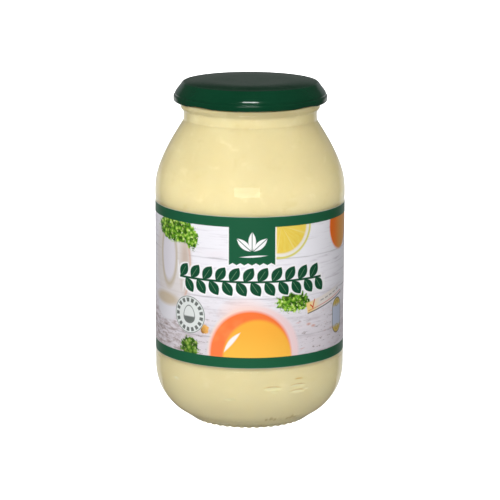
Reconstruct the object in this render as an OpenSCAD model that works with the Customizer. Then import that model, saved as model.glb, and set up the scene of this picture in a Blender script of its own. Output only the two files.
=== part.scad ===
// Glass jar of mayonnaise with a twist-off metal lid and a wrap-round paper label.
// Origin at the centre of the foot, +Z up, the label's front towards -Y.

/* [Glass body] */
// Outer diameter of the glass body
body_d = 80.5; // [72:0.1:110]
// Height of the straight wall between the heel and the shoulder
wall_h = 76.6; // [40:0.1:120]
// Thickness of the glass wall
wall_t = 2.4; // [1.6:0.1:3.2]
// Radius of the heel's curve
heel_r = 23.2; // [19:0.1:28]
// Angle that the heel's curve turns through before its straight run to the foot
heel_turn = 50; // [40:1:55]
// Height of the straight run's upper end
heel_rise = 5; // [3:0.1:9]
// Height of the shoulder, from the straight wall to the neck
shoulder_h = 29.3; // [20:0.1:45]
// Fullness of the shoulder's curve, as a share of its height
shoulder_full = 0.44; // [0.2:0.01:0.7]

/* [Foot] */
// Distance from the body's wall in to the outer edge of the foot ring
foot_inset = 15.6; // [14:0.1:19]
// Width of the flat ring that the jar stands on
foot_w = 1.2; // [0.4:0.1:3]
// Radius of the foot ring's rounded edges
foot_r = 0.8; // [0.3:0.1:1.5]
// Height of the push-up at the middle of the base
punt_h = 3.6; // [2.8:0.1:7]
// Thickness of the glass in the base
base_t = 4.2; // [2.5:0.1:7]

/* [Neck and finish] */
// Outer diameter of the neck and of the finish above it
neck_d = 56.4; // [44:0.1:68]
// Length of plain neck below the transfer bead
neck_h = 3.9; // [1:0.1:12]
// How far the transfer bead stands out of the neck
bead_out = 1.2; // [0.4:0.1:2]
// Height of the transfer bead
bead_h = 2.6; // [1.4:0.1:4]
// Height of the finish above the transfer bead
finish_h = 9.3; // [8:0.1:16]
// How far a thread ridge stands out of the finish
thread_out = 1.6; // [0.8:0.1:2]
// Height of a thread ridge
thread_h = 1.6; // [0.8:0.1:2]
// Angle covered by each thread ridge
thread_arc = 56; // [20:1:58]
// Radius of the rim's rounded edges
rim_r = 0.8; // [0.2:0.1:1.2]

/* [Lid] */
// Thickness of the lid's sheet
lid_t = 0.5; // [0.3:0.05:0.8]
// Clearance between the lid's curl and the thread ridges
lid_clear = 1.1; // [0.4:0.1:2.5]
// Clearance between the lid's corner and the jar's rim
rim_clear = 0.4; // [0.4:0.1:2]
// Inner radius of the lid's top corner
lid_corner_r = 0.4; // [0.1:0.1:1]
// Height of the rolled curl at the lid's lower edge
curl_h = 2.9; // [1.8:0.1:4]
// Width of the rolled curl
curl_w = 1.6; // [1:0.1:1.8]
// Depth of the groove where the skirt meets the curl
curl_groove = 0.15; // [0:0.05:0.4]
// Gap between the lid's lower edge and the transfer bead
lid_gap = 1.1; // [0.3:0.1:2]
// How far the middle panel lies below the lid's rim
panel_drop = 0.6; // [0.2:0.1:1.2]
// Gap between the panel's step and the jar's mouth
panel_gap = 0.5; // [0.3:0.1:2]
// Number of lugs, and of the thread ridges that they hold
lugs = 4; // [3:1:6]
// Angle covered by each lug
lug_arc = 14; // [8:1:30]
// Thickness of each lug
lug_t = 1; // [0.5:0.1:1.4]
// Clearance between a lug and the thread ridge above it
lug_clear = 0.2; // [0.1:0.05:0.6]
// Clearance between a lug and the finish
lug_side_clear = 0.6; // [0.3:0.1:0.7]
// Turn of the first lug away from the front
lug_turn = -42; // [-180:1:180]

/* [Label] */
// Bare straight wall below the label
label_below = 7.3; // [5:0.1:15]
// Bare straight wall above the label
label_above = 5.1; // [5:0.1:15]
// Thickness of the label's paper with its glue
label_t = 0.15; // [0.08:0.01:0.4]
// Depth of the label panel's recess in the glass
recess_d = 0.1; // [0:0.01:0.4]
// Margin of bare recess above and below the label
recess_margin = 1.6; // [0.4:0.1:4]
// Gap at the back between the label's two ends
label_gap = 4; // [1:0.5:20]

/* [Mayonnaise] */
// Gap between the mayonnaise and the underside of the lid's panel
headspace = 3.2; // [1:0.1:3.8]

/* [Hidden] */
$fn = 96;
ARC_STEPS = 16;
FRONT = -90;
THREAD_ROOT = 0.6;

body_r = body_d / 2;
neck_r = neck_d / 2;
bore_r = neck_r - wall_t;
bead_r = neck_r + bead_out;
thread_r = neck_r + thread_out;
label_r = body_r - recess_d;
foot_x = body_r - foot_inset;

// Heights from the foot up.
heel_z = heel_rise + heel_r * sin(heel_turn);
shoulder_z = heel_z + wall_h;
neck_z = shoulder_z + shoulder_h;
bead_z = neck_z + neck_h;
finish_z = bead_z + bead_h;
rim_z = finish_z + finish_h;
label_z = heel_z + label_below;
label_h = wall_h - label_below - label_above;

// Lid: it seats on the rim, and its lugs lie under the thread ridges.
lid_z = finish_z + lid_gap;
lug_z = lid_z + lid_t;
thread_z = lug_z + lug_t + lug_clear;
lid_top = rim_z + lid_t;
panel_z = lid_top - panel_drop;
lid_r = thread_r + lid_clear + curl_w;
lid_top_r = neck_r + rim_clear + lid_t;
fill_z = panel_z - lid_t - headspace;
rim_edge = min(rim_r, wall_t / 2);

function arc(x, z, r, from, to) =
    [for (i = [0:ARC_STEPS]) let (a = from + (to - from) * i / ARC_STEPS) [x + r * cos(a), z + r * sin(a)]];

// Cap of a ball: an arc from the axis at height top down to radius r at height low.
function dome(r, low, top) =
    let (rise = top - low, ball = (r * r + rise * rise) / (2 * rise), spread = asin(r / ball))
    arc(0, top - ball, ball, 90, 90 - spread);

function curve_point(a, b, c, d, t) =
    pow(1 - t, 3) * a + 3 * pow(1 - t, 2) * t * b + 3 * (1 - t) * t * t * c + pow(t, 3) * d;

// Shoulder: upright at the wall, bending in, and upright again at the neck.
function shoulder(wide, narrow) =
    let (
        start = [wide, shoulder_z],
        bulge = [wide, shoulder_z + shoulder_full * shoulder_h],
        pull = [narrow, neck_z - 0.05 * shoulder_h],
        end = [narrow, neck_z]
    )
    [for (i = [0:ARC_STEPS]) curve_point(start, bulge, pull, end, i / ARC_STEPS)];

// Transfer bead: the arc through the neck's edge, the bead's crest and the neck again.
function bead() =
    let (
        half = bead_h / 2,
        r = (half * half + bead_out * bead_out) / (2 * bead_out),
        spread = bead_out > half ? 180 - asin(half / r) : asin(half / r)
    )
    arc(bead_r - r, bead_z + half, r, -spread, spread);

function recess() =
    [
        [body_r, label_z - recess_margin - recess_d],
        [label_r, label_z - recess_margin],
        [label_r, label_z + label_h + recess_margin],
        [body_r, label_z + label_h + recess_margin + recess_d]
    ];

function outside() =
    concat(
        dome(foot_x - foot_w - foot_r, foot_r, punt_h),
        arc(foot_x - foot_w, foot_r, foot_r, 180, 270),
        arc(foot_x, foot_r, foot_r, 270, 360 - heel_turn),
        arc(body_r - heel_r, heel_z, heel_r, -heel_turn, 0),
        recess(),
        shoulder(body_r, neck_r),
        bead(),
        arc(neck_r - rim_edge, rim_z - rim_edge, rim_edge, 0, 90)
    );

function inside() =
    concat(
        dome(foot_x, base_t, punt_h + base_t),
        arc(body_r - heel_r, heel_z, heel_r - wall_t, -heel_turn, 0),
        shoulder(body_r - wall_t, bore_r),
        [[bore_r, rim_z - rim_edge]]
    );

function reversed(points) = [for (i = [len(points) - 1:-1:0]) points[i]];

function clean(points) =
    [for (i = [0:len(points) - 1]) if (i == 0 || norm(points[i] - points[i - 1]) > 0.001) points[i]];

// Turns a profile through part of a circle centred on a direction, measured from the front.
module sector(turn, spread) {
    rotate([0, 0, FRONT + turn - spread / 2])
        rotate_extrude(angle = spread) children();
}

module thread_ridge() {
    translate([neck_r - THREAD_ROOT, thread_z])
        polygon([
            [0, 0],
            [THREAD_ROOT + thread_out, 0],
            [THREAD_ROOT + thread_out, thread_h / 2],
            [THREAD_ROOT, thread_h],
            [0, thread_h]
        ]);
}

module jar() {
    rim_inner = arc(bore_r + rim_edge, rim_z - rim_edge, rim_edge, 90, 180);
    color([0.84, 0.87, 0.82, 0.4])
        union() {
            rotate_extrude()
                polygon(clean(concat(outside(), rim_inner, reversed(inside()))));
            for (i = [0:lugs - 1])
                sector(lug_turn + i * 360 / lugs, thread_arc) thread_ridge();
        }
}

module mayonnaise() {
    color([0.93, 0.87, 0.66])
        rotate_extrude()
            intersection() {
                polygon(clean(concat(inside(), [[0, rim_z - rim_edge]])));
                square([body_r, fill_z]);
            }
}

// The lid's sheet as a strip: its outer line, then its inner line back to the axis.
module lid_sheet() {
    skirt_z = lid_z + curl_h - curl_w / 2;
    skirt_r = lid_r - curl_groove;
    step_r = bore_r - panel_gap;
    corner_r = lid_corner_r + lid_t;
    corner_x = lid_top_r - corner_r;
    corner_z = lid_top - corner_r;
    lean = atan2(skirt_r - lid_top_r, lid_top - skirt_z);
    polygon(concat(
        [[0, panel_z], [step_r - panel_drop, panel_z], [step_r, lid_top]],
        arc(corner_x, corner_z, corner_r, 90, lean),
        [[skirt_r, skirt_z], [skirt_r - lid_t, skirt_z]],
        arc(corner_x, corner_z, lid_corner_r, lean, 90),
        [[step_r + lid_t / 2, lid_top - lid_t], [step_r + lid_t / 2 - panel_drop, panel_z - lid_t]],
        [[0, panel_z - lid_t]]
    ));
}

module lid_curl() {
    translate([lid_r - curl_w, lid_z + curl_w / 2])
        square([curl_w, curl_h - curl_w]);
    for (z = [lid_z + curl_w / 2, lid_z + curl_h - curl_w / 2])
        translate([lid_r - curl_w / 2, z]) circle(d = curl_w);
}

module lid_lug() {
    lug_r = neck_r + lug_side_clear;
    translate([lug_r, lug_z])
        square([lid_r - curl_w / 2 - lug_r, lug_t]);
}

module lid() {
    color([0.06, 0.28, 0.18])
        union() {
            rotate_extrude()
                union() {
                    lid_sheet();
                    lid_curl();
                }
            for (i = [0:lugs - 1])
                sector(lug_turn + i * 360 / lugs, lug_arc) lid_lug();
        }
}

module label() {
    gap_arc = label_gap / label_r * 180 / PI;
    color([0.86, 0.85, 0.88])
        sector(0, 360 - gap_arc)
            translate([label_r, label_z]) square([label_t, label_h]);
}

jar();
mayonnaise();
lid();
label();
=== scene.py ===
"""The looks of the mayonnaise jar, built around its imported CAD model.

Sizes are in millimetres in the profiles below, as in the part's source, and every mesh is in metres.
Angles round the jar are measured from its front, which faces -Y, and grow towards +X.
"""

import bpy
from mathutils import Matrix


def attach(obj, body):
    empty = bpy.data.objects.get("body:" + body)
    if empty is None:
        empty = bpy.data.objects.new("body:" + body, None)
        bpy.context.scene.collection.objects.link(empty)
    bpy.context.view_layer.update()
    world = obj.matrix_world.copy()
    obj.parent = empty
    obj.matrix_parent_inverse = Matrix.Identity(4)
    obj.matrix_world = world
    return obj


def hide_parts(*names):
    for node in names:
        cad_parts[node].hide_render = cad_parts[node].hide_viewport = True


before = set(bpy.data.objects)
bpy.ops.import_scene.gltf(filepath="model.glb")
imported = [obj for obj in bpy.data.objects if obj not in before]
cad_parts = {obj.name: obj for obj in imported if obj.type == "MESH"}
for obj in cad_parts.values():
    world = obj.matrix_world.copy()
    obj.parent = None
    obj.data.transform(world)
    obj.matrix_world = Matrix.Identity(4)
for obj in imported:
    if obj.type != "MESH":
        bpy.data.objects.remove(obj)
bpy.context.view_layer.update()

import math
from functools import reduce

import bmesh
import bpy
from mathutils import Matrix, Vector, noise

MM = 0.001

# ---- Sizes repeated from the part's source, in millimetres ----
BODY_R = 40.25
WALL_T = 2.4
HEEL_R = 23.2
HEEL_TURN = 50
HEEL_Z = 22.77
SHOULDER_Z = 99.37
SHOULDER_H = 29.3
SHOULDER_FULL = 0.44
FOOT_X = 24.65
FOOT_W = 1.2
FOOT_R = 0.8
PUNT_H = 3.6
BASE_T = 4.2
NECK_R = 28.2
NECK_Z = 128.67
BEAD_Z = 132.57
BEAD_H = 2.6
BEAD_OUT = 1.2
FINISH_Z = 135.17
RIM_Z = 144.47
RIM_R = 0.8
THREAD_Z = 137.97
THREAD_H = 1.6
THREAD_OUT = 1.6
THREAD_ARC = 56
LUGS = 4
LUG_TURN = -42
LUG_ARC = 14
LUG_T = 1.0
LUG_CLEAR = 0.6
LID_R = 32.5
LID_Z = 136.27
LID_TOP = 144.97
LID_TOP_R = 29.1
LID_T = 0.5
CURL_H = 2.9
CURL_W = 1.6
PANEL_Z = 144.37
PANEL_STEP_R = 25.3
LABEL_R = 40.15
LABEL_T = 0.15
LABEL_Z = 30.07
LABEL_H = 64.2
LABEL_GAP = 4.0
RECESS_MARGIN = 1.6
RECESS_D = 0.1
FILL_Z = 140.67
BORE_R = NECK_R - WALL_T
# The air pockets near the foot lie below this height.
POCKETS_TOP = 31.0

# ---- Camera, as the photo was taken ----
LOOK_AT = Vector((0.07, 0, 71.76)) * MM
CAMERA_AWAY = 1.084
CAMERA_LIFT = 12.23
CAMERA_ROLL = 0.219
CAMERA_LENS = 183.0
CAMERA_SENSOR = 36


# ======== Profiles: lists of (radius, height) in millimetres ========

def arc(x, z, r, start, end, steps):
    """Points of a circle's arc, from one angle to another."""
    turns = [math.radians(start + (end - start) * i / steps) for i in range(steps + 1)]
    return [(x + r * math.cos(t), z + r * math.sin(t)) for t in turns]


def line(a, b, steps):
    """Evenly spaced points from a to b, without a itself."""
    return [tuple(p + (q - p) * i / steps for p, q in zip(a, b)) for i in range(1, steps + 1)]


def dome(r, low, top):
    """Cap of a ball, from the axis down to radius r."""
    rise = top - low
    ball = (r * r + rise * rise) / (2 * rise)
    return arc(0, top - ball, ball, 90, 90 - math.degrees(math.asin(r / ball)), 14)


def curve(a, b, c, d, steps=34):
    """A cubic Bezier curve."""
    points = []
    for i in range(steps + 1):
        t = i / steps
        weights = ((1 - t) ** 3, 3 * (1 - t) ** 2 * t, 3 * (1 - t) * t * t, t ** 3)
        points.append(tuple(sum(w * p[k] for w, p in zip(weights, (a, b, c, d))) for k in (0, 1)))
    return points


def shoulder(wide, narrow):
    """The shoulder, upright at the wall and upright again at the neck."""
    full = SHOULDER_Z + SHOULDER_FULL * SHOULDER_H
    pull = NECK_Z - 0.05 * SHOULDER_H
    return curve((wide, SHOULDER_Z), (wide, full), (narrow, pull), (narrow, NECK_Z))


def bead():
    """The transfer bead round the neck."""
    half = BEAD_H / 2
    r = (half * half + BEAD_OUT * BEAD_OUT) / (2 * BEAD_OUT)
    spread = math.degrees(math.asin(half / r))
    return arc(NECK_R + BEAD_OUT - r, BEAD_Z + half, r, -spread, spread, 14)


def clean(points):
    """Drops a point that repeats the one before it."""
    kept = [points[0]]
    for p in points[1:]:
        if math.dist(p, kept[-1]) > 0.004:
            kept.append(p)
    return kept


def held(points, near=0.15):
    """Adds a point close to each end of every long stretch, so that smooth shading keeps it straight."""
    out = [points[0]]
    for a, b in zip(points, points[1:]):
        length = math.dist(a, b)
        if length > 8 * near:
            share = near / length
            for t in (share, 1 - share):
                out.append(tuple(p + (q - p) * t for p, q in zip(a, b)))
        out.append(b)
    return out


def heel(r, steps):
    """The heel's curve, up to the straight wall."""
    return arc(BODY_R - HEEL_R, HEEL_Z, r, -HEEL_TURN, 0, steps)


def recess():
    """The label panel's shallow recess, with its four edges just rounded."""
    low = LABEL_Z - RECESS_MARGIN
    high = LABEL_Z + LABEL_H + RECESS_MARGIN
    start, end = (LABEL_R, low + 0.05), (LABEL_R, high - 0.05)
    points = [(BODY_R, low - RECESS_D), (BODY_R - 0.02, low - RECESS_D + 0.02)]
    points += [(LABEL_R + 0.02, low), start] + line(start, end, 2)
    points += [(LABEL_R + 0.02, high), (BODY_R - 0.02, high + RECESS_D - 0.02), (BODY_R, high + RECESS_D)]
    return points


def glass_outside():
    """Outer line of the glass, from the middle of the push-up to the rim."""
    foot = arc(FOOT_X, FOOT_R, FOOT_R, 270, 360 - HEEL_TURN, 8)
    curved = heel(HEEL_R, 34)
    points = dome(FOOT_X - FOOT_W - FOOT_R, FOOT_R, PUNT_H)
    points += arc(FOOT_X - FOOT_W, FOOT_R, FOOT_R, 180, 270, 6) + foot
    points += line(foot[-1], curved[0], 12) + curved
    points += recess() + shoulder(BODY_R, NECK_R) + bead()
    points += line((NECK_R, FINISH_Z), (NECK_R, RIM_Z - RIM_R), 18)
    return points + arc(NECK_R - RIM_R, RIM_Z - RIM_R, RIM_R, 0, 90, 6)


def glass_inside():
    """Inner line of the glass, from the middle of the base to the rim."""
    points = dome(FOOT_X, BASE_T, PUNT_H + BASE_T) + heel(HEEL_R - WALL_T, 22)
    points.append((BODY_R - WALL_T, POCKETS_TOP))
    points += shoulder(BODY_R - WALL_T, BORE_R)
    return points + line((BORE_R, NECK_Z), (BORE_R, RIM_Z - RIM_R), 6)


# ======== Meshes ========

def point(r, turn, z):
    """A point in metres, from its radius, its angle in radians and its height."""
    return (r * MM * math.sin(turn), -r * MM * math.cos(turn), z * MM)


def turned(name, profile, segments, shape):
    """Turns a profile round Z. shape(r, z, angle, row) may move a point. Its ends lie on the axis."""
    verts, rows = [], []
    for row, (r, z) in enumerate(profile):
        if r < 1e-6:
            rows.append([len(verts)] * segments)
            verts.append((0.0, 0.0, z * MM))
            continue
        rows.append(list(range(len(verts), len(verts) + segments)))
        for i in range(segments):
            angle = 360 * i / segments
            x, h = shape(r, z, angle, row)
            verts.append(point(x, math.radians(angle), h))
    faces = []
    for low, high in zip(rows, rows[1:]):
        for i in range(segments):
            j = (i + 1) % segments
            corners = [low[i], low[j], high[j], high[i]]
            face = [c for k, c in enumerate(corners) if c != corners[k - 1]]
            if len(face) > 2:
                faces.append(face)
    return solid(name, verts, faces)


def solid(name, verts, faces):
    """A smooth-shaded object from points and faces, with every face turned outwards."""
    mesh = bpy.data.meshes.new(name)
    mesh.from_pydata(verts, [], faces)
    mesh.validate()
    if len(faces) > 1:
        work = bmesh.new()
        work.from_mesh(mesh)
        bmesh.ops.recalc_face_normals(work, faces=work.faces)
        work.to_mesh(mesh)
        work.free()
    mesh.shade_smooth()
    made = bpy.data.objects.new(name, mesh)
    bpy.context.scene.collection.objects.link(made)
    return made


def off_front(angle, centre):
    """How far an angle lies from a direction, from -180 to 180."""
    return (angle - centre + 180) % 360 - 180


def smooth(low, high, value):
    """0 below low, 1 above high, with a soft step between."""
    t = min(1.0, max(0.0, (value - low) / (high - low)))
    return t * t * (3 - 2 * t)


def bump_at(u, v, ru, rv):
    """A round-topped bump of height 1 at the origin, which ends at the ellipse (ru, rv)."""
    d = (u / ru) ** 2 + (v / rv) ** 2
    return (1 - d) ** 2 if d < 1 else 0.0


# ---- Glass ----
KNURLS = 48
KNURL_DEEP = 0.34
KNURL_TOP = 2.2
KNURL_INNER = FOOT_X - FOOT_W - 0.9
GLASS_SIDES = 7 * KNURLS
SEAM_OUT = 0.05
SEAM_Z = 2.4
# Raised dots that stand in for mould marks: (angle in degrees, height, radius).
# The first of them also have painted shade on the mayonnaise behind them.
MOULD_DOTS = (
    (13.6, 6.4, 0.8), (17.0, 6.7, 1.0), (20.6, 6.3, 0.8),
    (31.5, 6.3, 0.8), (34.5, 6.9, 1.1), (38.0, 6.6, 0.8),
    (-8.0, 4.6, 0.7), (-12.0, 4.8, 0.7),
    (172.0, 6.2, 0.9), (178.0, 6.5, 0.9), (184.0, 6.2, 0.9),
)
DOTS_WITH_PAINTED_SHADE = 6
DOT_OUT = 0.55


def knurled(r, z, angle):
    """The foot ring's small grooves, which hold its lower edge off what it stands on."""
    if z > KNURL_TOP or r < KNURL_INNER:
        return r, z
    wave = 0.5 - 0.5 * math.cos(math.radians(angle * KNURLS))
    share = smooth(KNURL_TOP, 0.7, z) if r > FOOT_X else 1.0
    share *= smooth(KNURL_INNER, KNURL_INNER + 1.3, r)
    lift = KNURL_DEEP * (wave ** 1.5) * share
    return r - 0.35 * lift, z + lift


def mould_marks(r, z, angle):
    """Raised dots near the foot."""
    for centre, height, size in MOULD_DOTS:
        if abs(z - height) < size:
            u = math.radians(off_front(angle, centre)) * r
            r += DOT_OUT * bump_at(u, (z - height) * 1.2, size, size)
    return r


def at_nearest_lug(angle, fade):
    """The largest value over the lugs of a fade that takes the angle from a lug's middle."""
    return max(fade(abs(off_front(angle, LUG_TURN + i * 360 / LUGS))) for i in range(LUGS))


def threaded(r, z, angle):
    """Thread ridges of the finish."""
    top = THREAD_Z + THREAD_H
    if not THREAD_Z - 0.3 < z < top + 0.4 or r < NECK_R - 0.5:
        return r
    height = smooth(THREAD_Z - 0.25, THREAD_Z + 0.15, z) * smooth(top + 0.3, top - 0.9, z)
    ends = at_nearest_lug(angle, lambda away: smooth(THREAD_ARC / 2, THREAD_ARC / 2 - 7, away))
    return r + THREAD_OUT * height * ends


def glass_shape(outer_rows):
    """Shapes the outer rows of the glass: knurls, mould marks, mould seams and threads."""
    def shape(r, z, angle, row):
        if row >= outer_rows:
            return r, z
        r, z = knurled(r, z, angle)
        r = mould_marks(r, z, angle)
        if SEAM_Z < z < FINISH_Z and abs(r - LABEL_R) > 0.03:
            seam = min(abs(off_front(angle, 90)), abs(off_front(angle, -90)))
            r += SEAM_OUT * smooth(1.0, 0.2, seam)
        return threaded(r, z, angle), z
    return shape


def build_glass():
    """The jar: its outer line, its rim and its inner line back to the axis."""
    outer = held(clean(glass_outside()))
    inner = clean(glass_inside())[::-1]
    rim = arc(BORE_R + RIM_R, RIM_Z - RIM_R, RIM_R, 90, 180, 6)
    return turned("glass_jar", clean(outer + rim + inner), GLASS_SIDES, glass_shape(len(outer)))


# ---- Mayonnaise ----
# Where the mayonnaise has left the wall: (angle, height, half width, half height, depth, bend).
# The first of them have painted shade on their upper lip.
AIR_POCKETS = (
    (14.5, 21.0, 4.4, 1.1, 0.8, 0.5), (31.6, 21.3, 4.2, 0.9, 0.4, 0.7),
    (31.6, 18.9, 4.4, 0.9, 0.4, 0.7), (32.2, 23.8, 2.4, 0.9, 0.3, 0.3),
    (16.0, 19.5, 2.2, 0.9, 0.5, -0.3), (38.0, 19.4, 2.2, 0.6, 0.15, 0.4),
    (-52.0, 22.0, 3.0, 0.8, 0.13, 0.3), (-49.0, 27.0, 2.0, 0.8, 0.1, -0.3),
    (-12.0, 16.2, 3.2, 0.7, 0.3, 0.4), (-5.0, 29.0, 6.0, 0.5, 0.15, 0.2),
    (140.0, 18.5, 4.5, 1.0, 0.6, 0.5), (160.0, 22.0, 3.0, 0.8, 0.4, -0.3),
    (120.0, 26.0, 3.4, 0.8, 0.5, 0.6), (-130.0, 20.0, 5.0, 0.9, 0.5, 0.5),
    (-155.0, 112.0, 3.0, 1.2, 0.4, 0.0), (118.0, 117.0, 2.4, 1.0, 0.4, 0.2),
    (205.0, 24.0, 2.4, 1.0, 0.4, 0.0),
)
POCKETS_WITH_LIP_SHADE = 4
LIP_LIFT = 0.4
INTO_WALL = 0.08
MAYO_SIDES = 384


def dense(points, step, low, high):
    """Adds points where the profile runs between two heights with wider spaces than step."""
    out = [points[0]]
    for p in points[1:]:
        count = math.ceil(math.dist(out[-1], p) / step) if low < p[1] < high else 1
        out += line(out[-1], p, count)
    return out


def pressed_in(r, z, angle):
    """Air pockets between the mayonnaise and the glass."""
    if r < 20 or z > FILL_Z - 1:
        return r, z
    for centre, height, half_u, half_v, depth, bend in AIR_POCKETS:
        away = off_front(angle, centre)
        if abs(away) > 12 or abs(z - height) > 5:
            continue
        u = math.radians(away) * r
        v = z - height + bend * ((u / half_u) ** 2 - LIP_LIFT)
        v *= 1.6 if v > 0 else 0.8
        r -= (depth + INTO_WALL) * bump_at(u, v, half_u, half_v)
    return r, z


def build_mayonnaise():
    """The contents: they reach just into the wall, and their top is a little uneven."""
    wall = [(r, z) for r, z in clean(glass_inside()) if z < FILL_Z - 0.6]
    wall = [(r + INTO_WALL if r > 0 else 0.0, z - (INTO_WALL if z < 12 else 0)) for r, z in wall]
    wall = dense(wall, 0.4, 14, POCKETS_TOP - 1)
    edge = wall[-1][0]
    corner = [(edge, FILL_Z - 0.3), (edge - 0.15, FILL_Z - 0.08), (edge - 0.5, FILL_Z)]
    top = [(edge * (1 - i / 16), FILL_Z) for i in range(1, 17)]
    first_top_row = len(wall) + len(corner)

    def shape(r, z, angle, row):
        if row < first_top_row:
            return pressed_in(r, z, angle)
        t = math.radians(angle)
        rise = noise.noise(Vector((r * 0.12 * math.cos(t), r * 0.12 * math.sin(t), 3.7)))
        return r, z - 0.25 - 0.25 * rise

    return turned("mayonnaise_fill", wall + corner + top, MAYO_SIDES, shape)


# ---- Lid ----
CROWN_R = 14.5
CROWN_BEND = 0.0055
LID_SIDES = 288
# At each lug, the skirt below PRESS_TOP and outside PRESS_INNER is pressed in and up this far.
PRESS_TOP = LID_Z + 5.0
PRESS_INNER = 29.5
PRESS_IN = 0.3
PRESS_UP = 0.42


def from_curl(*points):
    """Points given by how far they lie in from the lid's edge and up from its lower end."""
    return [(LID_R - inwards, LID_Z + up) for inwards, up in points]


def from_corner(*points):
    """Points given by how far they lie in and down from the lid's top corner."""
    return [(LID_TOP_R - inwards, LID_TOP - down) for inwards, down in points]


def lid_profile():
    """Outer line from the middle of the panel round the curl, and the inner line back."""
    top = LID_TOP - 0.01
    reach = LID_TOP_R - 1.2
    panel = [(0, top)] + line((0, top), (CROWN_R, top), 8)
    crown = [(r, top - CROWN_BEND / 2 * (r - CROWN_R) ** 2)
             for r in (CROWN_R + (reach - CROWN_R) * i / 26 for i in range(27))]
    crown += curve(crown[-1], *from_corner((0.8, 0.54), (0.55, 0.65), (0.26, 0.92)), 7)
    skirt = line(crown[-1], *from_curl((1.12, 4.43)), 6)
    flare = curve(skirt[-1], *from_curl((0.93, 4.14), (0.73, 3.75), (0.58, 3.4)), 8)
    flare += curve(flare[-1], *from_curl((0.54, 3.25), (0.66, 3.1), (0.62, CURL_H + 0.03)), 5)
    roll = curve(flare[-1], *from_curl((0.45, 2.86), (0.25, 2.72), (0.12, 2.52)), 4)
    roll += from_curl((0.08, 2.4), (0.03, 2.15), (0, 1.8))
    roll += arc(LID_R - 0.8, LID_Z + 0.8, 0.8, 0, -180, 14)
    roll += line(roll[-1], (LID_R - CURL_W, LID_Z + 1.9), 3)
    back = from_curl((CURL_W - 0.1, 2.4), (1.3, 3.0), (1.4, 3.4))
    back += line(back[-1], *from_corner((LID_T + 0.15, 1.35)), 6)
    under = from_corner((1.0, 1.0), (1.7, 0.8)) + [(PANEL_STEP_R + 0.5, LID_TOP - 0.7)]
    under += [(PANEL_STEP_R - 2.6, LID_TOP - 0.72), (PANEL_STEP_R - 4.4, PANEL_Z - LID_T + 0.1)]
    under += line(under[-1], (0, PANEL_Z - LID_T), 6)
    return held(clean(panel + crown + skirt + flare + roll + back + under), 0.1)


def lid_shape(r, z, angle, row):
    """Presses the curl in and up at each lug."""
    if z > PRESS_TOP or r < PRESS_INNER:
        return r, z
    press = at_nearest_lug(angle, lambda away: smooth(LUG_ARC, LUG_ARC * 0.2, away))
    inwards = PRESS_IN * smooth(PRESS_TOP, LID_Z + 1.6, z)
    upwards = PRESS_UP * smooth(LID_Z + 3.0, LID_Z + 0.4, z)
    return r - inwards * press, z + upwards * press


def build_lid():
    """The pressed shell with its rolled curl, without the lugs."""
    return turned("lid_shell", lid_profile(), LID_SIDES, lid_shape)


def build_lug(index):
    """One lug: the curl's end rolled flat under a thread ridge."""
    centre = LUG_TURN + index * 360 / LUGS
    outer, inner = LID_R - 1.5, NECK_R + LUG_CLEAR
    across, deep = 14, 5
    low = LID_Z + 0.75
    high = low + LUG_T * 0.75
    verts, faces = [], []
    for level in (low, high):
        for j in range(deep + 1):
            for i in range(across + 1):
                side = 2 * i / across - 1
                angle = math.radians(centre + side * LUG_ARC / 2 * (1 - 0.18 * (j / deep) ** 2))
                r = outer + (inner - outer) * j / deep
                droop = 0.14 * math.sin(math.pi * j / deep) + 0.1 * side * side
                z = level - droop if level == low else level - 0.5 * droop
                verts.append(point(r, angle, z))
    wide = across + 1
    top = wide * (deep + 1)
    for j in range(deep):
        for i in range(across):
            a = j * wide + i
            faces.append([a, a + 1, a + wide + 1, a + wide])
            faces.append([top + a + wide, top + a + wide + 1, top + a + 1, top + a])
    ring = list(range(wide)) + [j * wide + across for j in range(1, deep + 1)]
    ring += [deep * wide + i for i in range(across - 1, -1, -1)]
    ring += [j * wide for j in range(deep - 1, 0, -1)]
    for a, b in zip(ring, ring[1:] + ring[:1]):
        faces.append([b, a, top + a, top + b])
    lug = solid(f"lid_lug_{index}", verts, faces)
    lug.modifiers.new("edge", "BEVEL").width = 0.12 * MM
    return lug


# ---- Label ----
LABEL_IN = LABEL_R + 0.015
LABEL_OUT = LABEL_R + LABEL_T - 0.025
LABEL_COLUMNS = 360
LABEL_ROWS = 24


def build_label():
    """The paper: a sheet with thickness, bent round the glass, with its two ends at the back."""
    half = math.pi - LABEL_GAP / LABEL_R / 2
    verts, faces = [], []
    wide = LABEL_COLUMNS + 1
    for r in (LABEL_OUT, LABEL_IN):
        for j in range(LABEL_ROWS + 1):
            for i in range(wide):
                angle = -half + 2 * half * i / LABEL_COLUMNS
                z = LABEL_Z + LABEL_H * j / LABEL_ROWS
                verts.append(point(r, angle, z))
    back = wide * (LABEL_ROWS + 1)
    for j in range(LABEL_ROWS):
        for i in range(LABEL_COLUMNS):
            a = j * wide + i
            faces.append([a, a + 1, a + wide + 1, a + wide])
            faces.append([back + a + wide, back + a + wide + 1, back + a + 1, back + a])
    last = LABEL_ROWS * wide
    for i in range(LABEL_COLUMNS):
        faces.append([i + 1, i, back + i, back + i + 1])
        faces.append([last + i, last + i + 1, back + last + i + 1, back + last + i])
    for j in range(LABEL_ROWS):
        a, b = j * wide, (j + 1) * wide
        faces.append([a, b, back + b, back + a])
        a, b = a + LABEL_COLUMNS, b + LABEL_COLUMNS
        faces.append([b, a, back + a, back + b])
    made = solid("paper_label", verts, faces)
    made.data.set_sharp_from_angle(angle=math.radians(40))
    return made


# ======== Materials ========

def srgb(red, green, blue):
    """A colour given in sRGB steps of 255, as the linear values that a node takes."""
    def linear(c):
        c /= 255
        return c / 12.92 if c <= 0.04045 else ((c + 0.055) / 1.055) ** 2.4
    return (linear(red), linear(green), linear(blue), 1.0)


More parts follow.
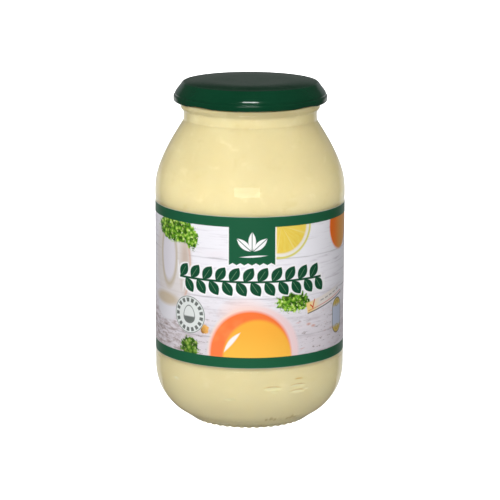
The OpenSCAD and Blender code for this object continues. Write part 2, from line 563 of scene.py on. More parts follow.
class Value:
    """A node's output. Sums and products of values make Math nodes."""

    def __init__(self, graph, socket):
        self.graph, self.socket = graph, socket

    def __add__(self, other):
        return self.graph.math("ADD", self, other)

    def __sub__(self, other):
        return self.graph.math("SUBTRACT", self, other)

    def __rsub__(self, other):
        return self.graph.math("SUBTRACT", other, self)

    def __mul__(self, other):
        return self.graph.math("MULTIPLY", self, other)

    __radd__, __rmul__ = __add__, __mul__

    def __truediv__(self, other):
        return self.graph.math("DIVIDE", self, other)

    def abs(self):
        return self.graph.math("ABSOLUTE", self)


class Graph:
    """A material's nodes, built by short calls."""

    def __init__(self, name):
        self.material = bpy.data.materials.new(name)
        self.material.use_nodes = True
        self.tree = self.material.node_tree
        self.tree.nodes.clear()
        self.output = self.tree.nodes.new("ShaderNodeOutputMaterial")

    def node(self, kind, **settings):
        made = self.tree.nodes.new(kind)
        for name, value in settings.items():
            setattr(made, name, value)
        return made

    def feed(self, socket, value):
        """Links a value to a socket, or sets the socket to a plain number or colour."""
        if isinstance(value, Value):
            self.tree.links.new(value.socket, socket)
        else:
            socket.default_value = value

    def math(self, operation, *values, clamp=False):
        made = self.node("ShaderNodeMath", operation=operation, use_clamp=clamp)
        for socket, value in zip(made.inputs, values):
            self.feed(socket, value)
        return Value(self, made.outputs[0])

    def least(self, *values):
        return reduce(lambda a, b: self.math("MINIMUM", a, b), values)

    def most(self, *values):
        return reduce(lambda a, b: self.math("MAXIMUM", a, b), values)

    def inside(self, distance, soft=0.14):
        """1 inside a shape and 0 outside it, with an edge that is soft millimetres wide each way."""
        return self.math("MULTIPLY_ADD", distance, -0.5 / soft, 0.5, clamp=True)

    def between(self, value, low, high):
        """0 at low and 1 at high, with a soft step between."""
        made = self.node("ShaderNodeMapRange", interpolation_type="SMOOTHSTEP")
        for socket, v in zip(made.inputs, (value, low, high)):
            self.feed(socket, v)
        return Value(self, made.outputs[0])

    def mix(self, share, below, above):
        """The first colour with a share of the second laid over it."""
        made = self.node("ShaderNodeMix", data_type="RGBA")
        for index, value in ((0, share), (6, below), (7, above)):
            self.feed(made.inputs[index], value)
        return Value(self, made.outputs[2])

    def vector(self, x, y, z=0.0):
        made = self.node("ShaderNodeCombineXYZ")
        for socket, value in zip(made.inputs, (x, y, z)):
            self.feed(socket, value)
        return Value(self, made.outputs[0])

    def noise(self, where, scale, detail=3.0, rough=0.55, twist=0.0):
        made = self.node("ShaderNodeTexNoise")
        self.feed(made.inputs["Vector"], where)
        settings = {"Scale": scale, "Detail": detail, "Roughness": rough, "Distortion": twist}
        for name, value in settings.items():
            made.inputs[name].default_value = value
        return Value(self, made.outputs[0])

    def cells(self, where, scale):
        """Distance from the middle of the nearest cell."""
        made = self.node("ShaderNodeTexVoronoi", feature="F1")
        self.feed(made.inputs["Vector"], where)
        made.inputs["Scale"].default_value = scale
        return Value(self, made.outputs["Distance"])

    def place(self):
        """The point in the piece's own space, in metres."""
        return Value(self, self.node("ShaderNodeTexCoord").outputs["Object"])

    def parts(self, vector):
        made = self.node("ShaderNodeSeparateXYZ")
        self.feed(made.inputs[0], vector)
        return [Value(self, s) for s in made.outputs]

    def around(self, x, y):
        """The angle round the jar from its front, in radians."""
        return self.math("ARCTAN2", x, self.math("MULTIPLY", y, -1.0))

    def reach(self, a, b):
        """Distance from the origin to (a, b)."""
        return self.math("SQRT", a * a + b * b)

    def bump(self, height, strength, distance):
        made = self.node("ShaderNodeBump")
        made.inputs["Strength"].default_value = strength
        made.inputs["Distance"].default_value = distance
        self.feed(made.inputs["Height"], height)
        return Value(self, made.outputs[0])

    def principled(self, colour, **settings):
        """A Principled shader. A setting's name has _ for each space in the socket's name."""
        made = self.node("ShaderNodeBsdfPrincipled")
        self.feed(made.inputs["Base Color"], colour)
        for name, value in settings.items():
            self.feed(made.inputs[name.replace("_", " ")], value)
        return Value(self, made.outputs[0])

    def mix_shaders(self, share, first, second):
        """The first shader where share is 0, and the second where it is 1."""
        made = self.node("ShaderNodeMixShader")
        for socket, value in zip(made.inputs, (share, first, second)):
            self.feed(socket, value)
        return Value(self, made.outputs[0])

    def transparent(self, colour):
        made = self.node("ShaderNodeBsdfTransparent")
        self.feed(made.inputs["Color"], colour)
        return Value(self, made.outputs[0])

    def finish(self, shader):
        self.tree.links.new(shader.socket, self.output.inputs["Surface"])
        return self.material


def glass_material():
    """Clear glass. Lamps shine through it unbent, so that they reach the mayonnaise."""
    g = Graph("jar_glass")
    where = g.place()
    waves = g.noise(where, 45.0, 2.0, 0.5)
    seeds = g.cells(where, 260.0)
    uneven = waves + g.between(seeds, 0.1, 0.0) * 0.4
    normal = g.bump(uneven, 0.12, 0.0006)
    rough = g.between(g.noise(where, 120.0, 3.0), 0.35, 0.8) * 0.03 + 0.015
    glass = g.principled(
        srgb(244, 249, 243), Roughness=rough, IOR=1.5, Transmission_Weight=1.0, Normal=normal)
    in_shadow = Value(g, g.node("ShaderNodeLightPath").outputs["Is Shadow Ray"])
    return g.finish(g.mix_shaders(in_shadow, glass, g.transparent(srgb(247, 250, 246))))


MAYO_PALE = srgb(208, 194, 155)
MAYO_DEEP = srgb(202, 186, 144)
MAYO_STREAK = srgb(220, 207, 170)
MAYO_SMEAR = srgb(192, 174, 126)
MAYO_PAINTED_LOW_SHADE = srgb(172, 160, 128)
MAYO_SHADE = srgb(168, 124, 52)
MAYO_PAINTED_SHADOW = srgb(122, 104, 58)


def painted_lip_shade(g, colour, around, z):
    """Painted shade: brownish upper lips of the front air pockets, whose upper edge faces down, away from
    the light.
    """
    for centre, height, half_u, half_v, _, bend in AIR_POCKETS[:POCKETS_WITH_LIP_SHADE]:
        share = (around - math.radians(centre)) * (BODY_R - WALL_T) / half_u
        v = z * 1000.0 - height + (share * share - LIP_LIFT) * bend
        lip = g.between((v - half_v * 0.3).abs(), half_v * 0.45, 0.0) * g.between(share.abs(), 1.0, 0.3)
        colour = g.mix(lip * 0.85, colour, MAYO_SHADE)
    return colour


def painted_dot_shade(g, colour, around, z):
    """Painted shade: dark spots on the mayonnaise behind the front mould marks."""
    heel_in = 12.0
    for centre, height, size in MOULD_DOTS[:DOTS_WITH_PAINTED_SHADE]:
        u = (around - math.radians(centre)) * (BODY_R - heel_in)
        mark = g.between(g.reach(u, z * 1000.0 - height), size, size * 0.4)
        colour = g.mix(mark * 0.5, colour, MAYO_PAINTED_SHADOW)
    return colour


def mayonnaise_material():
    """Pale yellow emulsion with soft smears and faint streaks, with painted shade low down, under the
    lid, on the upper lips of the front air pockets and behind the front mould marks.
    """
    g = Graph("mayonnaise")
    where = g.place()
    x, y, z = g.parts(where)
    around = g.around(x, y)
    streaks = g.noise(g.vector(around * 2.2, z * 95.0), 1.6, 5.0, 0.6, 0.6)
    cloud = g.noise(where, 26.0, 4.0, 0.55)
    fine = g.noise(where, 420.0, 3.0, 0.5)
    colour = g.mix(g.between(cloud, 0.3, 0.75), MAYO_DEEP, MAYO_PALE)
    colour = g.mix(g.between(streaks, 0.54, 0.74) * 0.6, colour, MAYO_STREAK)
    colour = g.mix(g.between(streaks, 0.44, 0.24) * 0.45, colour, MAYO_SMEAR)
    # Painted shade: the mayonnaise darkens towards the bottom of the jar, where less light reaches the
    # heel.
    colour = g.mix(g.between(z, 0.046, 0.004) * 0.9, colour, MAYO_PAINTED_LOW_SHADE)
    colour = painted_lip_shade(g, colour, around, z)
    colour = painted_dot_shade(g, colour, around, z)
    # Painted shadow: a dark olive band just under the lid and a faint line at the bead's lower edge,
    # standing in for the lid's shadow on the neck.
    ring = g.between((z - 0.1335).abs(), 0.0005, 0.0001)
    painted_lid_shadow = g.most(g.between(z, 0.1343, 0.1355), ring * 0.2)
    colour = g.mix(painted_lid_shadow * 0.8, colour, MAYO_PAINTED_SHADOW)
    normal = g.bump(fine * 0.3 + streaks, 0.25, 0.0004)
    rough = g.between(cloud, 0.2, 0.9) * 0.15 + 0.42
    return g.finish(g.principled(
        colour, Roughness=rough, Specular_IOR_Level=0.35, Subsurface_Weight=0.6,
        Subsurface_Radius=(1.0, 0.85, 0.6), Subsurface_Scale=0.006, Normal=normal))


LID_GREEN = srgb(4, 61, 37)
LID_GREEN_LIGHT = srgb(7, 66, 41)


def lid_material():
    """Glossy dark green enamel on tinplate, with orange peel, hairlines and a little dust."""
    g = Graph("lid_enamel")
    where = g.place()
    peel = g.noise(where, 900.0, 2.0, 0.5)
    x, y, z = g.parts(where)
    hair = g.noise(g.vector(x * 60.0, y * 1400.0, z * 900.0), 1.0, 2.0, 0.5)
    cloud = g.noise(where, 70.0, 3.0, 0.5)
    colour = g.mix(g.between(cloud, 0.3, 0.8), LID_GREEN, LID_GREEN_LIGHT)
    dust = g.between(g.noise(where, 2600.0, 2.0, 0.5), 0.72, 0.8)
    colour = g.mix(dust * 0.25, colour, srgb(120, 140, 130))
    normal = g.bump(peel + g.between(hair, 0.66, 0.72) * 0.5, 0.08, 0.0002)
    rough = g.between(cloud, 0.25, 0.85) * 0.05 + 0.11
    return g.finish(g.principled(colour, Roughness=rough, Specular_IOR_Level=0.5, Normal=normal))


def label_material():
    """Printed paper with a faint fibre relief."""
    g = Graph("label_paper")
    x, y, z = g.parts(g.place())
    u = g.around(x, y) * LABEL_OUT
    v = z * 1000.0 - LABEL_Z
    where = g.vector(u, v)
    colour = printed(g, u, v, where)
    fibre = g.noise(where, 2.2, 4.0, 0.6)
    normal = g.bump(fibre, 0.12, 0.00006)
    rough = g.between(fibre, 0.2, 0.8) * 0.1 + 0.36
    return g.finish(g.principled(colour, Roughness=rough, Specular_IOR_Level=0.22, Normal=normal))


# ======== The label's print. u and v are millimetres round and up the label ========

BAND_TOP = 59.8
BAND_LOW = 4.65
BAND_GREEN = srgb(30, 92, 62)
WORD_GREEN = srgb(20, 76, 50)
WHITE = srgb(250, 249, 250)


def ellipse(g, u, v, cu, cv, ru, rv):
    """Distance from an ellipse's edge, near enough, below 0 inside."""
    a, b = (u - cu) / ru, (v - cv) / rv
    return (g.reach(a, b) - 1.0) * min(ru, rv)


def turned_frame(u, v, cu, cv, degrees):
    """u and v measured from a centre, along and across a direction."""
    c, s = math.cos(math.radians(degrees)), math.sin(math.radians(degrees))
    a, b = u - cu, v - cv
    return a * c + b * s, b * c - a * s


def rectangle(g, a, b, half_a, half_b):
    """Distance from a rectangle's edge, below 0 inside."""
    return g.most(a.abs() - half_a, b.abs() - half_b)


def leaf(a, b, start, length, width):
    """A pointed leaf that lies along a."""
    t = (a - (start + length / 2)) / (length / 2)
    return b.abs() - (1.0 - t * t) * (width / 2)


def wood(g, u, v):
    """Whitewashed boards, brighter above, with grain, gaps and worn specks."""
    grain = g.noise(g.vector(u * 0.055, v * 0.75, 0.0), 1.0, 6.0, 0.62, 0.4)
    broad = g.noise(g.vector(u * 0.04, v * 0.09, 4.0), 1.0, 3.0, 0.5)
    colour = g.mix(g.between(v, 6.0, 40.0), srgb(224, 217, 223), srgb(245, 243, 249))
    colour = g.mix(g.between(grain, 0.5, 0.76) * 0.55, colour, srgb(182, 174, 184))
    smudge = g.noise(g.vector(u * 0.07, v * 0.28, 13.0), 1.0, 4.0, 0.6)
    smudged = g.between(smudge, 0.5, 0.72) * g.between(v, 40.0, 20.0)
    colour = g.mix(smudged * 0.6, colour, srgb(190, 178, 184))
    colour = g.mix(g.between(broad, 0.55, 0.8) * 0.35, colour, srgb(240, 226, 232))
    worn = g.noise(g.vector(u * 0.2, v * 0.62, 9.0), 1.0, 6.0, 0.68)
    low = g.between(v, 34.0, 10.0)
    colour = g.mix(g.between(worn, 0.57, 0.66) * low * 0.85, colour, srgb(140, 120, 120))
    rust = g.noise(g.vector(u * 0.16, v * 0.5, 21.0), 1.0, 5.0, 0.65)
    colour = g.mix(g.between(rust, 0.62, 0.7) * low * 0.6, colour, srgb(206, 148, 142))
    dash = g.noise(g.vector(u * 0.3, v * 1.5, 31.0), 1.0, 3.0, 0.5)
    colour = g.mix(g.between(dash, 0.64, 0.7) * low * 0.55, colour, srgb(104, 94, 100))
    left = g.between(u, -20.0, -38.0) * g.between(v, 26.0, 14.0)
    colour = g.mix(left * g.between(worn, 0.42, 0.6) * 0.7, colour, srgb(158, 138, 134))
    bend = g.noise(g.vector(u * 0.08, 0.0, 2.0), 1.0, 2.0) * 1.2
    for height in (13.4, 30.2, 46.8):
        gap = g.inside((v + bend - height).abs() - 0.14, 0.3) * g.between(grain, 0.3, 0.6)
        colour = g.mix(gap * 0.6, colour, srgb(128, 120, 128))
    return colour


def parsley(g, colour, u, v, where, shape, dark=0.0):
    """A curly bunch inside a shape, which its leaves fray."""
    fray = g.noise(where, 0.55, 3.0, 0.6)
    edge = shape + (fray - 0.5) * 5.0
    curl = g.cells(g.vector(u, v, fray * 2.0), 0.55)
    shade = g.noise(where, 0.42, 4.0, 0.65)
    green = g.mix(g.between(curl, 0.1, 0.55), srgb(206, 236, 112), srgb(106, 166, 40))
    green = g.mix(g.between(curl, 0.5, 0.85), green, srgb(40, 84, 14))
    green = g.mix(g.between(shade, 0.5, 0.6) * 0.9, green, srgb(38, 72, 16))
    gleam = g.noise(g.vector(u, v, 17.0), 0.9, 2.0, 0.5)
    green = g.mix(g.between(gleam, 0.6, 0.7) * 0.75, green, srgb(236, 250, 178))
    if dark:
        green = g.mix(dark, green, srgb(58, 78, 40))
    return g.mix(g.inside(edge, 0.3), colour, green)


def jug(g, colour, u, v):
    """A white jug, out of focus, behind the parsley."""
    body = ellipse(g, u, v, -40.0, 42.0, 12.5, 19.0)
    colour = g.mix(g.inside(body, 2.0) * 0.75, colour, srgb(226, 218, 214))
    side = ellipse(g, u, v, -29.2, 43.0, 2.6, 13.0)
    colour = g.mix(g.inside(side, 1.6) * 0.75, colour, srgb(200, 178, 160))
    edge = ellipse(g, u, v, -38.5, 42.0, 12.0, 20.0).abs() - 0.25
    colour = g.mix(g.inside(edge, 0.5) * g.between(u, -34.0, -28.0) * 0.8, colour, srgb(214, 160, 128))
    hole = ellipse(g, u, v, -40.2, 44.5, 5.6, 12.5)
    colour = g.mix(g.inside(hole, 0.8), colour, srgb(228, 224, 232))
    rim = hole.abs() - 0.55
    colour = g.mix(g.inside(rim, 0.7) * 0.85, colour, srgb(196, 180, 150))
    foot = ellipse(g, u, v, -42.5, 25.5, 9.0, 2.6)
    bowl = ellipse(g, u, v, -42.5, 21.5, 8.6, 5.4)
    colour = g.mix(g.inside(bowl, 0.9), colour, srgb(232, 230, 236))
    return g.mix(g.inside(foot, 0.9) * 0.8, colour, srgb(204, 184, 150))


def lemon(g, colour, u, v):
    """A lemon slice, half hidden by the tab."""
    a, b, r = u - 13.2, v - 60.2, 14.0
    segments = 9
    away = g.reach(a, b)
    angle = g.math("ARCTAN2", b, a)
    rib = g.math("PINGPONG", angle * (segments / math.pi) + segments, 1.0)
    pulp = g.noise(g.vector(away * 0.25, angle * 9.0), 1.0, 3.0)
    flesh = g.mix(pulp, srgb(238, 196, 62), srgb(246, 226, 112))
    flesh = g.mix(g.between(rib, 0.16, 0.0) * 0.35, flesh, srgb(252, 240, 176))
    slice_colour = g.mix(g.inside(away - (r - 2.3), 0.4), srgb(244, 238, 226), flesh)
    slice_colour = g.mix(g.inside((r - 0.9) - away, 0.25), slice_colour, srgb(222, 214, 110))
    return g.mix(g.inside(away - r, 0.3), colour, slice_colour)


def egg_half(g, colour, u, v):
    """Half an eggshell with its yolk, at the label's lower edge."""
    shell = ellipse(g, u, v, 1.8, 6.6, 19.5, 19.8)
    glow = ellipse(g, u, v, -2.0, 22.5, 9.0, 6.0)
    colour = g.mix(g.inside(glow, 2.4) * 0.7, colour, srgb(252, 214, 204))
    rim = g.mix(g.between(u, -14.0, 18.0), srgb(252, 222, 208), srgb(242, 214, 216))
    colour = g.mix(g.inside(shell, 0.7), colour, rim)
    lip = ellipse(g, u, v, 0.4, 5.6, 17.4, 19.0)
    band = g.mix(g.between(v, 6.0, 24.0), srgb(254, 128, 72), srgb(252, 124, 62))
    swirl = g.noise(g.vector(u * 0.11, v * 0.11, 5.0), 1.0, 2.0)
    band = g.mix(g.between(swirl, 0.45, 0.65) * 0.4, band, srgb(255, 156, 90))
    colour = g.mix(g.inside(lip, 0.7), colour, band)
    yolk = ellipse(g, u, v, 3.4, 3.6, 14.6, 17.2)
    gold = g.mix(g.between(v, 4.0, 19.0), srgb(255, 192, 76), srgb(255, 180, 66))
    colour = g.mix(g.inside(yolk, 0.6), colour, gold)
    a, b = turned_frame(u, v, -7.6, 11.4, 51.0)
    gleam = leaf(a, b + a * a * 0.016, -5.4, 10.8, 1.9)
    return g.mix(g.inside(gleam, 0.25), colour, srgb(254, 244, 240))


def stamp(g, colour, u, v):
    """A plain round mark: a ring, a ring of ticks and an egg."""
    a, b = u + 27.2, v - 21.0
    ticks = 17
    away = g.reach(a, b)
    ink = srgb(62, 72, 66)
    colour = g.mix(g.inside(away - 8.0, 0.15), colour, srgb(228, 232, 230))
    colour = g.mix(g.inside((away - 7.75).abs() - 0.14, 0.12) * 0.85, colour, ink)
    angle = g.math("ARCTAN2", b, a)
    tick = g.math("PINGPONG", angle * (ticks / math.pi) + ticks, 1.0)
    bars = g.inside((away - 6.3).abs() - 0.85, 0.15) * g.between(tick, 0.72, 0.5)
    colour = g.mix(bars * 0.85, colour, ink)
    egg = ellipse(g, a * (b * 0.05 + 1.0), b, 0.0, 0.2, 2.9, 3.7)
    colour = g.mix(g.inside(egg.abs() - 0.16, 0.12) * 0.8, colour, ink)
    low = g.most(egg, b + 0.7)
    return g.mix(g.inside(low, 0.3) * 0.85, colour, ink)


def small_things(g, colour, u, v, where):
    """A nut, an orange fruit and two crumbs."""
    nut = ellipse(g, u, v, -19.4, 15.6, 1.9, 2.1)
    shade = g.noise(where, 0.75, 4.0, 0.65)
    lit = g.between(u + v * 0.5 + shade * 3.0, -13.5, -8.5)
    nut_colour = g.mix(lit, srgb(128, 78, 42), srgb(244, 184, 98))
    colour = g.mix(g.inside(nut + (shade - 0.5) * 2.6, 0.25), colour, nut_colour)
    fruit = ellipse(g, u, v, 48.5, 57.0, 9.4, 11.0)
    peel = g.mix(g.between(u, 40.5, 50.0), srgb(238, 112, 34), srgb(226, 156, 70))
    colour = g.mix(g.inside(fruit, 0.5), colour, peel)
    for cu, cv in ((26.5, 17.2), (29.0, 16.2)):
        crumb = ellipse(g, u, v, cu, cv, 1.0, 0.45)
        colour = g.mix(g.inside(crumb, 0.3) * 0.7, colour, srgb(210, 140, 112))
    return colour


def ribbon(g, colour, u, v):
    """A slanted strip with a tick and two ruled lines."""
    a, b = turned_frame(u, v, 37.8, 26.6, 12.0)
    strip = rectangle(g, a, b, 12.6, 2.3)
    paper = g.mix(g.between(a, -12.0, -4.0), srgb(250, 216, 140), srgb(236, 228, 222))
    colour = g.mix(g.inside(strip, 0.25) * g.between(a, 12.5, 2.0), colour, paper)
    rule = rectangle(g, a, b + 1.25, 12.0, 0.16)
    colour = g.mix(g.inside(rule, 0.16) * 0.8, colour, srgb(206, 70, 52))
    under = rectangle(g, a, b + 2.3, 12.6, 0.2)
    colour = g.mix(g.inside(under, 0.18), colour, srgb(40, 40, 44))
    for length, turn, cu, cv in ((1.1, -52.0, -9.9, 0.1), (2.0, 62.0, -8.7, 0.8)):
        p, q = turned_frame(a, b, cu, cv, turn)
        colour = g.mix(g.inside(rectangle(g, p, q, length, 0.24), 0.15), colour, srgb(206, 50, 34))
    for place in (-3.5, -0.5, 2.5, 5.5, 8.5):
        dash = rectangle(g, a - place, b - 0.6, 1.0, 0.2)
        colour = g.mix(g.inside(dash, 0.2) * 0.7, colour, srgb(86, 84, 84))
    return colour


def badge(g, colour, u, v):
    """A tall pill with gold ends and a plain blue-grey middle."""
    a, b = u - 46.2, v - 17.6
    pill = g.reach(a, g.most(b.abs() - 3.4, 0.0)) - 3.9
    colour = g.mix(g.inside(pill - 0.4, 0.2), colour, srgb(92, 88, 84))
    gold = g.mix(g.between(b.abs(), 3.4, 5.4), srgb(196, 204, 222), srgb(206, 180, 96))
    colour = g.mix(g.inside(pill, 0.2), colour, gold)
    ring = ellipse(g, a, b.abs(), 0.0, 5.0, 1.5, 1.1).abs() - 0.12
    return g.mix(g.inside(ring, 0.2) * 0.8, colour, srgb(150, 120, 50))


def sprig(g, colour, u, v):
    """A long sprig of leaves in the place of the name."""
    middle, spacing, pairs = 36.8, 5.9, 11
    stem = g.most((v - middle).abs() - 0.45, -32.4 - u, u - 33.2)
    shapes = [stem]
    veins = []
    for side, first in ((1.0, -32.0), (-1.0, -32.0 + spacing / 2)):
        along = g.math("WRAP", u - first, spacing - 0.9, -0.9)
        a, b = turned_frame(along, (v - middle) * side, 0.0, 0.0, 56.0)
        outside = g.most(first - 0.9 - u, u - (first - 0.9 + spacing * pairs))
        shapes.append(g.most(leaf(a, b, 0.1, 7.1, 4.4), outside))
        veins.append(g.most(b.abs() - 0.1, (a - 3.2).abs() - 2.2, outside))
    whole = g.least(*shapes)
    colour = g.mix(g.inside(whole - 0.75, 0.4), colour, WHITE)
    colour = g.mix(g.inside(whole, 0.12), colour, WORD_GREEN)
    return g.mix(g.inside(g.least(*veins), 0.1) * 0.6, colour, srgb(130, 176, 136))


def tab(g, colour, u, v):
    """The band's tab, with a scalloped foot and three plain leaves."""
    a = u - 0.95
    wave = g.math("PINGPONG", a + 9.65, 1.6)
    foot = 43.9 - v + wave * 0.55
    block = g.most(a.abs() - 9.65, foot, v - 61.0)
    colour = g.mix(g.inside(block - 0.5, 0.3), colour, WHITE)
    colour = g.mix(g.inside(block, 0.12), colour, BAND_GREEN)
    leaves = []
    for turn in (90.0, 42.0, 138.0):
        p, q = turned_frame(a, v, 0.0, 49.4, turn)
        leaves.append(g.most(leaf(p, q, 0.5, 8.0, 3.1), 0.16 - q.abs()))
    p, q = turned_frame(a, v, 0.6, 47.6, 3.0)
    leaves.append(leaf(p, q, -5.6, 11.2, 0.75))
    return g.mix(g.inside(g.least(*leaves), 0.12), colour, WHITE)


def back_panels(g, colour, u, v):
    """Plain cream panels with ruled lines, on both sides of the label's ends."""
    a, b = u.abs() - 92.0, v - 32.2
    panel = rectangle(g, a, b, 22.0, 22.5) - 0.8
    colour = g.mix(g.inside(panel - 0.35, 0.15), colour, BAND_GREEN)
    colour = g.mix(g.inside(panel, 0.15), colour, srgb(244, 241, 228))
    row = g.math("PINGPONG", b + 40.0, 2.1)
    field = rectangle(g, a, b, 19.0, 19.0)
    rules = g.most(field, row - 0.13)
    colour = g.mix(g.inside(rules, 0.1) * 0.75, colour, srgb(120, 138, 122))
    split = g.most(field, (a - 6.0).abs() - 0.1)
    return g.mix(g.inside(split, 0.1) * 0.75, colour, srgb(120, 138, 122))


def printed(g, u, v, where):
    """The whole print, from the boards up to the green bands."""
    colour = wood(g, u, v)
    colour = jug(g, colour, u, v)
    top_left = ellipse(g, u, v, -36.0, 56.4, 12.0, 5.6)
    right_end = ellipse(g, u, v, -26.0, 53.6, 3.6, 4.6)
    colour = parsley(g, colour, u, v, where, g.least(top_left, right_end))
    colour = lemon(g, colour, u, v)
    colour = parsley(g, colour, u, v, where, ellipse(g, u, v, 19.0, 27.6, 7.6, 4.2))
    colour = parsley(g, colour, u, v, where, ellipse(g, u, v, -27.0, 7.0, 4.8, 4.6), 0.45)
    colour = small_things(g, colour, u, v, where)
    colour = stamp(g, colour, u, v)
    colour = egg_half(g, colour, u, v)
    colour = ribbon(g, colour, u, v)
    colour = badge(g, colour, u, v)
    colour = sprig(g, colour, u, v)
    colour = tab(g, colour, u, v)
    colour = back_panels(g, colour, u, v)
    bands = g.least(BAND_TOP - v, v - BAND_LOW)
    colour = g.mix(g.inside(bands, 0.12), colour, BAND_GREEN)
    edge = g.least(LABEL_H - 0.22 - v, v - 0.15)
    return g.mix(g.inside(edge, 0.1) * 0.6, colour, srgb(226, 226, 214))


# ======== Stage: floor, lights and camera ========

def floor_material():
    """Plain pale floor, which is clear from below so that the underside can be seen."""
    g = Graph("studio_floor")
    where = g.place()
    tone = g.mix(g.noise(where, 3.0, 2.0), srgb(250, 250, 250), srgb(247, 247, 248))
    front = g.principled(tone, Roughness=0.9, Specular_IOR_Level=0.0)
    below = Value(g, g.node("ShaderNodeNewGeometry").outputs["Backfacing"])
    return g.finish(g.mix_shaders(below, front, g.transparent(srgb(255, 255, 255))))


def flat_card(name, corners, material, *unseen_by):
    """A flat card, hidden from the kinds of ray that are named."""
    made = solid(name, corners, [[0, 1, 2, 3]])
    made.data.materials.append(material)
    for kind in unseen_by:
        setattr(made, "visible_" + kind, False)
    return made


def level_square(half, z):
    """Corners of a level square round the jar, facing up."""
    return [(-half, -half, z), (half, -half, z), (half, half, z), (-half, half, z)]


def build_floor():
    """The floor, just under the jar. It is kept out of the jar's own light."""
    floor = flat_card("studio_floor", level_square(6.0, -0.0001), floor_material(), "glossy", "diffuse")
    return floor


WORLD_LIGHT = 0.09


def aim(obj, target):
    """Turns an object's -Z axis to a point."""
    obj.rotation_mode = "QUATERNION"
    obj.rotation_quaternion = (Vector(target) - obj.location).to_track_quat("-Z", "Y")


def softbox(name, place, target, size, power, only=None):
    """A square lamp. only is the one object it lights, where it lights just one."""
    data = bpy.data.lights.new(name, "AREA")
    data.shape = "RECTANGLE"
    data.size, data.size_y = size
    data.energy = power
    lamp = bpy.data.objects.new(name, data)
    lamp.location = place
    bpy.context.scene.collection.objects.link(lamp)
    aim(lamp, target)
    if only is not None:
        group = bpy.data.collections.new(name + "_only")
        group.objects.link(only)
        lamp.light_linking.receiver_collection = group
        lamp.light_linking.blocker_collection = group
    return lamp


def grey(level):
    """A grey given as a linear value."""
    return (level, level, level, 1)


def backdrop_material():
    """White below the horizon and grey just above it, dimmer beside the jar."""
    g = Graph("studio_backdrop")
    x, _, z = g.parts(g.place())
    ramp = g.node("ShaderNodeValToRGB")
    g.feed(ramp.inputs[0], g.between(z, -0.1, 0.7))
    ramp.color_ramp.interpolation = "EASE"
    stops = ((0.0, 0.75), (0.12, 0.7), (0.22, 0.1), (0.35, 0.14), (0.66, 0.15), (0.8, 0.02))
    while len(ramp.color_ramp.elements) < len(stops):
        ramp.color_ramp.elements.new(0.5)
    for element, (where, bright) in zip(ramp.color_ramp.elements, stops):
        element.position = where
        element.color = grey(bright)
    beside = g.between(x.abs(), 0.1, 0.3) * g.between(z, -0.1, 0.2)
    shown = g.mix(beside, Value(g, ramp.outputs[0]), (0.28, 0.28, 0.29, 1))
    shown = g.mix(g.between(x.abs(), 0.8, 1.6), shown, grey(0.05))
    glow = g.node("ShaderNodeEmission")
    g.feed(glow.inputs["Color"], shown)
    return g.finish(Value(g, glow.outputs[0]))


def build_backdrop():
    """A card behind the jar that only its gloss mirrors."""
    half, away, low, high = 1.6, 1.5, -0.7, 0.6
    corners = [(-half, away, low), (half, away, low), (half, away, high), (-half, away, high)]
    unseen_by = ("camera", "diffuse", "transmission", "shadow")
    backdrop = flat_card("studio_backdrop", corners, backdrop_material(), *unseen_by)


def bounce_material():
    """A ring of light round the foot, fading outwards."""
    g = Graph("studio_bounce")
    x, y, _ = g.parts(g.place())
    away = g.reach(x, y)
    near = g.between(away, 0.03, 0.042) * g.between(away, 0.085, 0.04)
    glow = g.node("ShaderNodeEmission")
    g.feed(glow.inputs["Strength"], near * 0.7 + 0.06)
    return g.finish(Value(g, glow.outputs[0]))


def build_bounce():
    """Light that comes up from round the jar, as a pale table sends it. The card itself isn't seen."""
    unseen_by = ("camera", "glossy", "transmission", "shadow")
    card = flat_card("studio_bounce", level_square(0.8, -0.001), bounce_material(), *unseen_by)


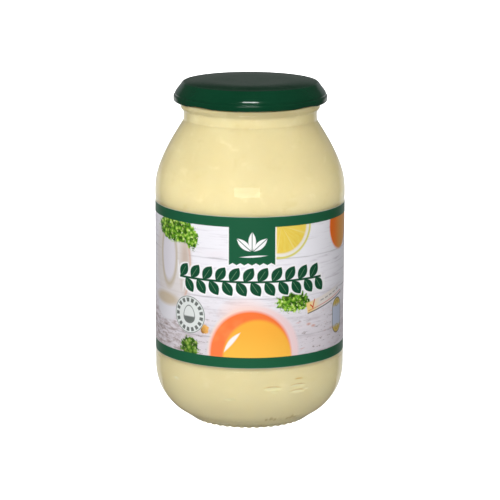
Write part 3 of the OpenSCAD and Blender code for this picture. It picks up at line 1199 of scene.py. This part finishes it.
def build_lights(floor, lid, label):
    """Soft studio lamps. Some shade without a highlight, and some are only a highlight."""
    middle = (0, 0, 0.075)
    key = softbox("key", (-0.17, -1.48, 0.82), middle, (1.7, 0.8), 25)
    key.visible_glossy = False
    gloss = softbox("gloss", (-0.1, -1.6, 0.42), middle, (0.9, 0.45), 1.9)
    gloss.visible_diffuse = False
    paper = softbox("label_light", (-0.25, -1.55, 0.5), middle, (1.7, 0.8), 4.6, only=label)
    paper.visible_glossy = False
    for name, side, power in (("fill_right", 1.0, 4.5), ("fill_left", -1.0, 6.0)):
        fill = softbox(name, (1.5 * side, -0.7, 0.45), middle, (0.8, 0.9), power)
        fill.visible_glossy = False
    back = softbox("fill_back", (0.4, 1.2, 0.8), middle, (0.9, 0.9), 5)
    back.visible_glossy = False
    back.visible_transmission = False
    gleam = softbox("lid_gleam", (0.0, -0.69, 0.87), (0, 0, 0.14), (0.34, 0.05), 2.2, only=lid)
    gleam.visible_diffuse = False
    sky = softbox("floor_light", (0, 0.5, 2.5), (0, 0.5, 0), (3.0, 3.0), 190, only=floor)
    sky.visible_glossy = False
    world = bpy.data.worlds.new("studio")
    bpy.context.scene.world = world
    world.use_nodes = True
    background = world.node_tree.nodes["Background"]
    background.inputs["Color"].default_value = grey(1)
    background.inputs["Strength"].default_value = WORLD_LIGHT


def build_camera():
    """The camera as the photo was taken: from the front, a little above and a little turned."""
    data = bpy.data.cameras.new("photo_camera")
    data.lens = CAMERA_LENS
    data.sensor_width = CAMERA_SENSOR
    data.clip_start, data.clip_end = 0.05, 30
    camera = bpy.data.objects.new("photo_camera", data)
    lift = math.radians(CAMERA_LIFT)
    camera.location = LOOK_AT + Vector((0, -math.cos(lift), math.sin(lift))) * CAMERA_AWAY
    roll = Matrix.Rotation(math.radians(CAMERA_ROLL), 4, "Z")
    camera.rotation_euler = (Matrix.Rotation(math.pi / 2 - lift, 4, "X") @ roll).to_euler()
    bpy.context.scene.collection.objects.link(camera)
    bpy.context.scene.camera = camera


# ======== Everything together ========

def seat(piece, material, node=None):
    """Gives a piece its material and its body, and hides the CAD node that it stands for."""
    piece.data.materials.append(material)
    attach(piece, "root")
    if node:
        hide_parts(node)


enamel = lid_material()
seat(build_glass(), glass_material(), "jar")
seat(build_mayonnaise(), mayonnaise_material(), "mayonnaise")
lid = build_lid()
seat(lid, enamel, "lid")
for number in range(LUGS):
    seat(build_lug(number), enamel)
label = build_label()
seat(label, label_material(), "label")

build_backdrop()
build_bounce()
build_lights(build_floor(), lid, label)
build_camera()
bpy.context.scene.view_settings.view_transform = "Standard"
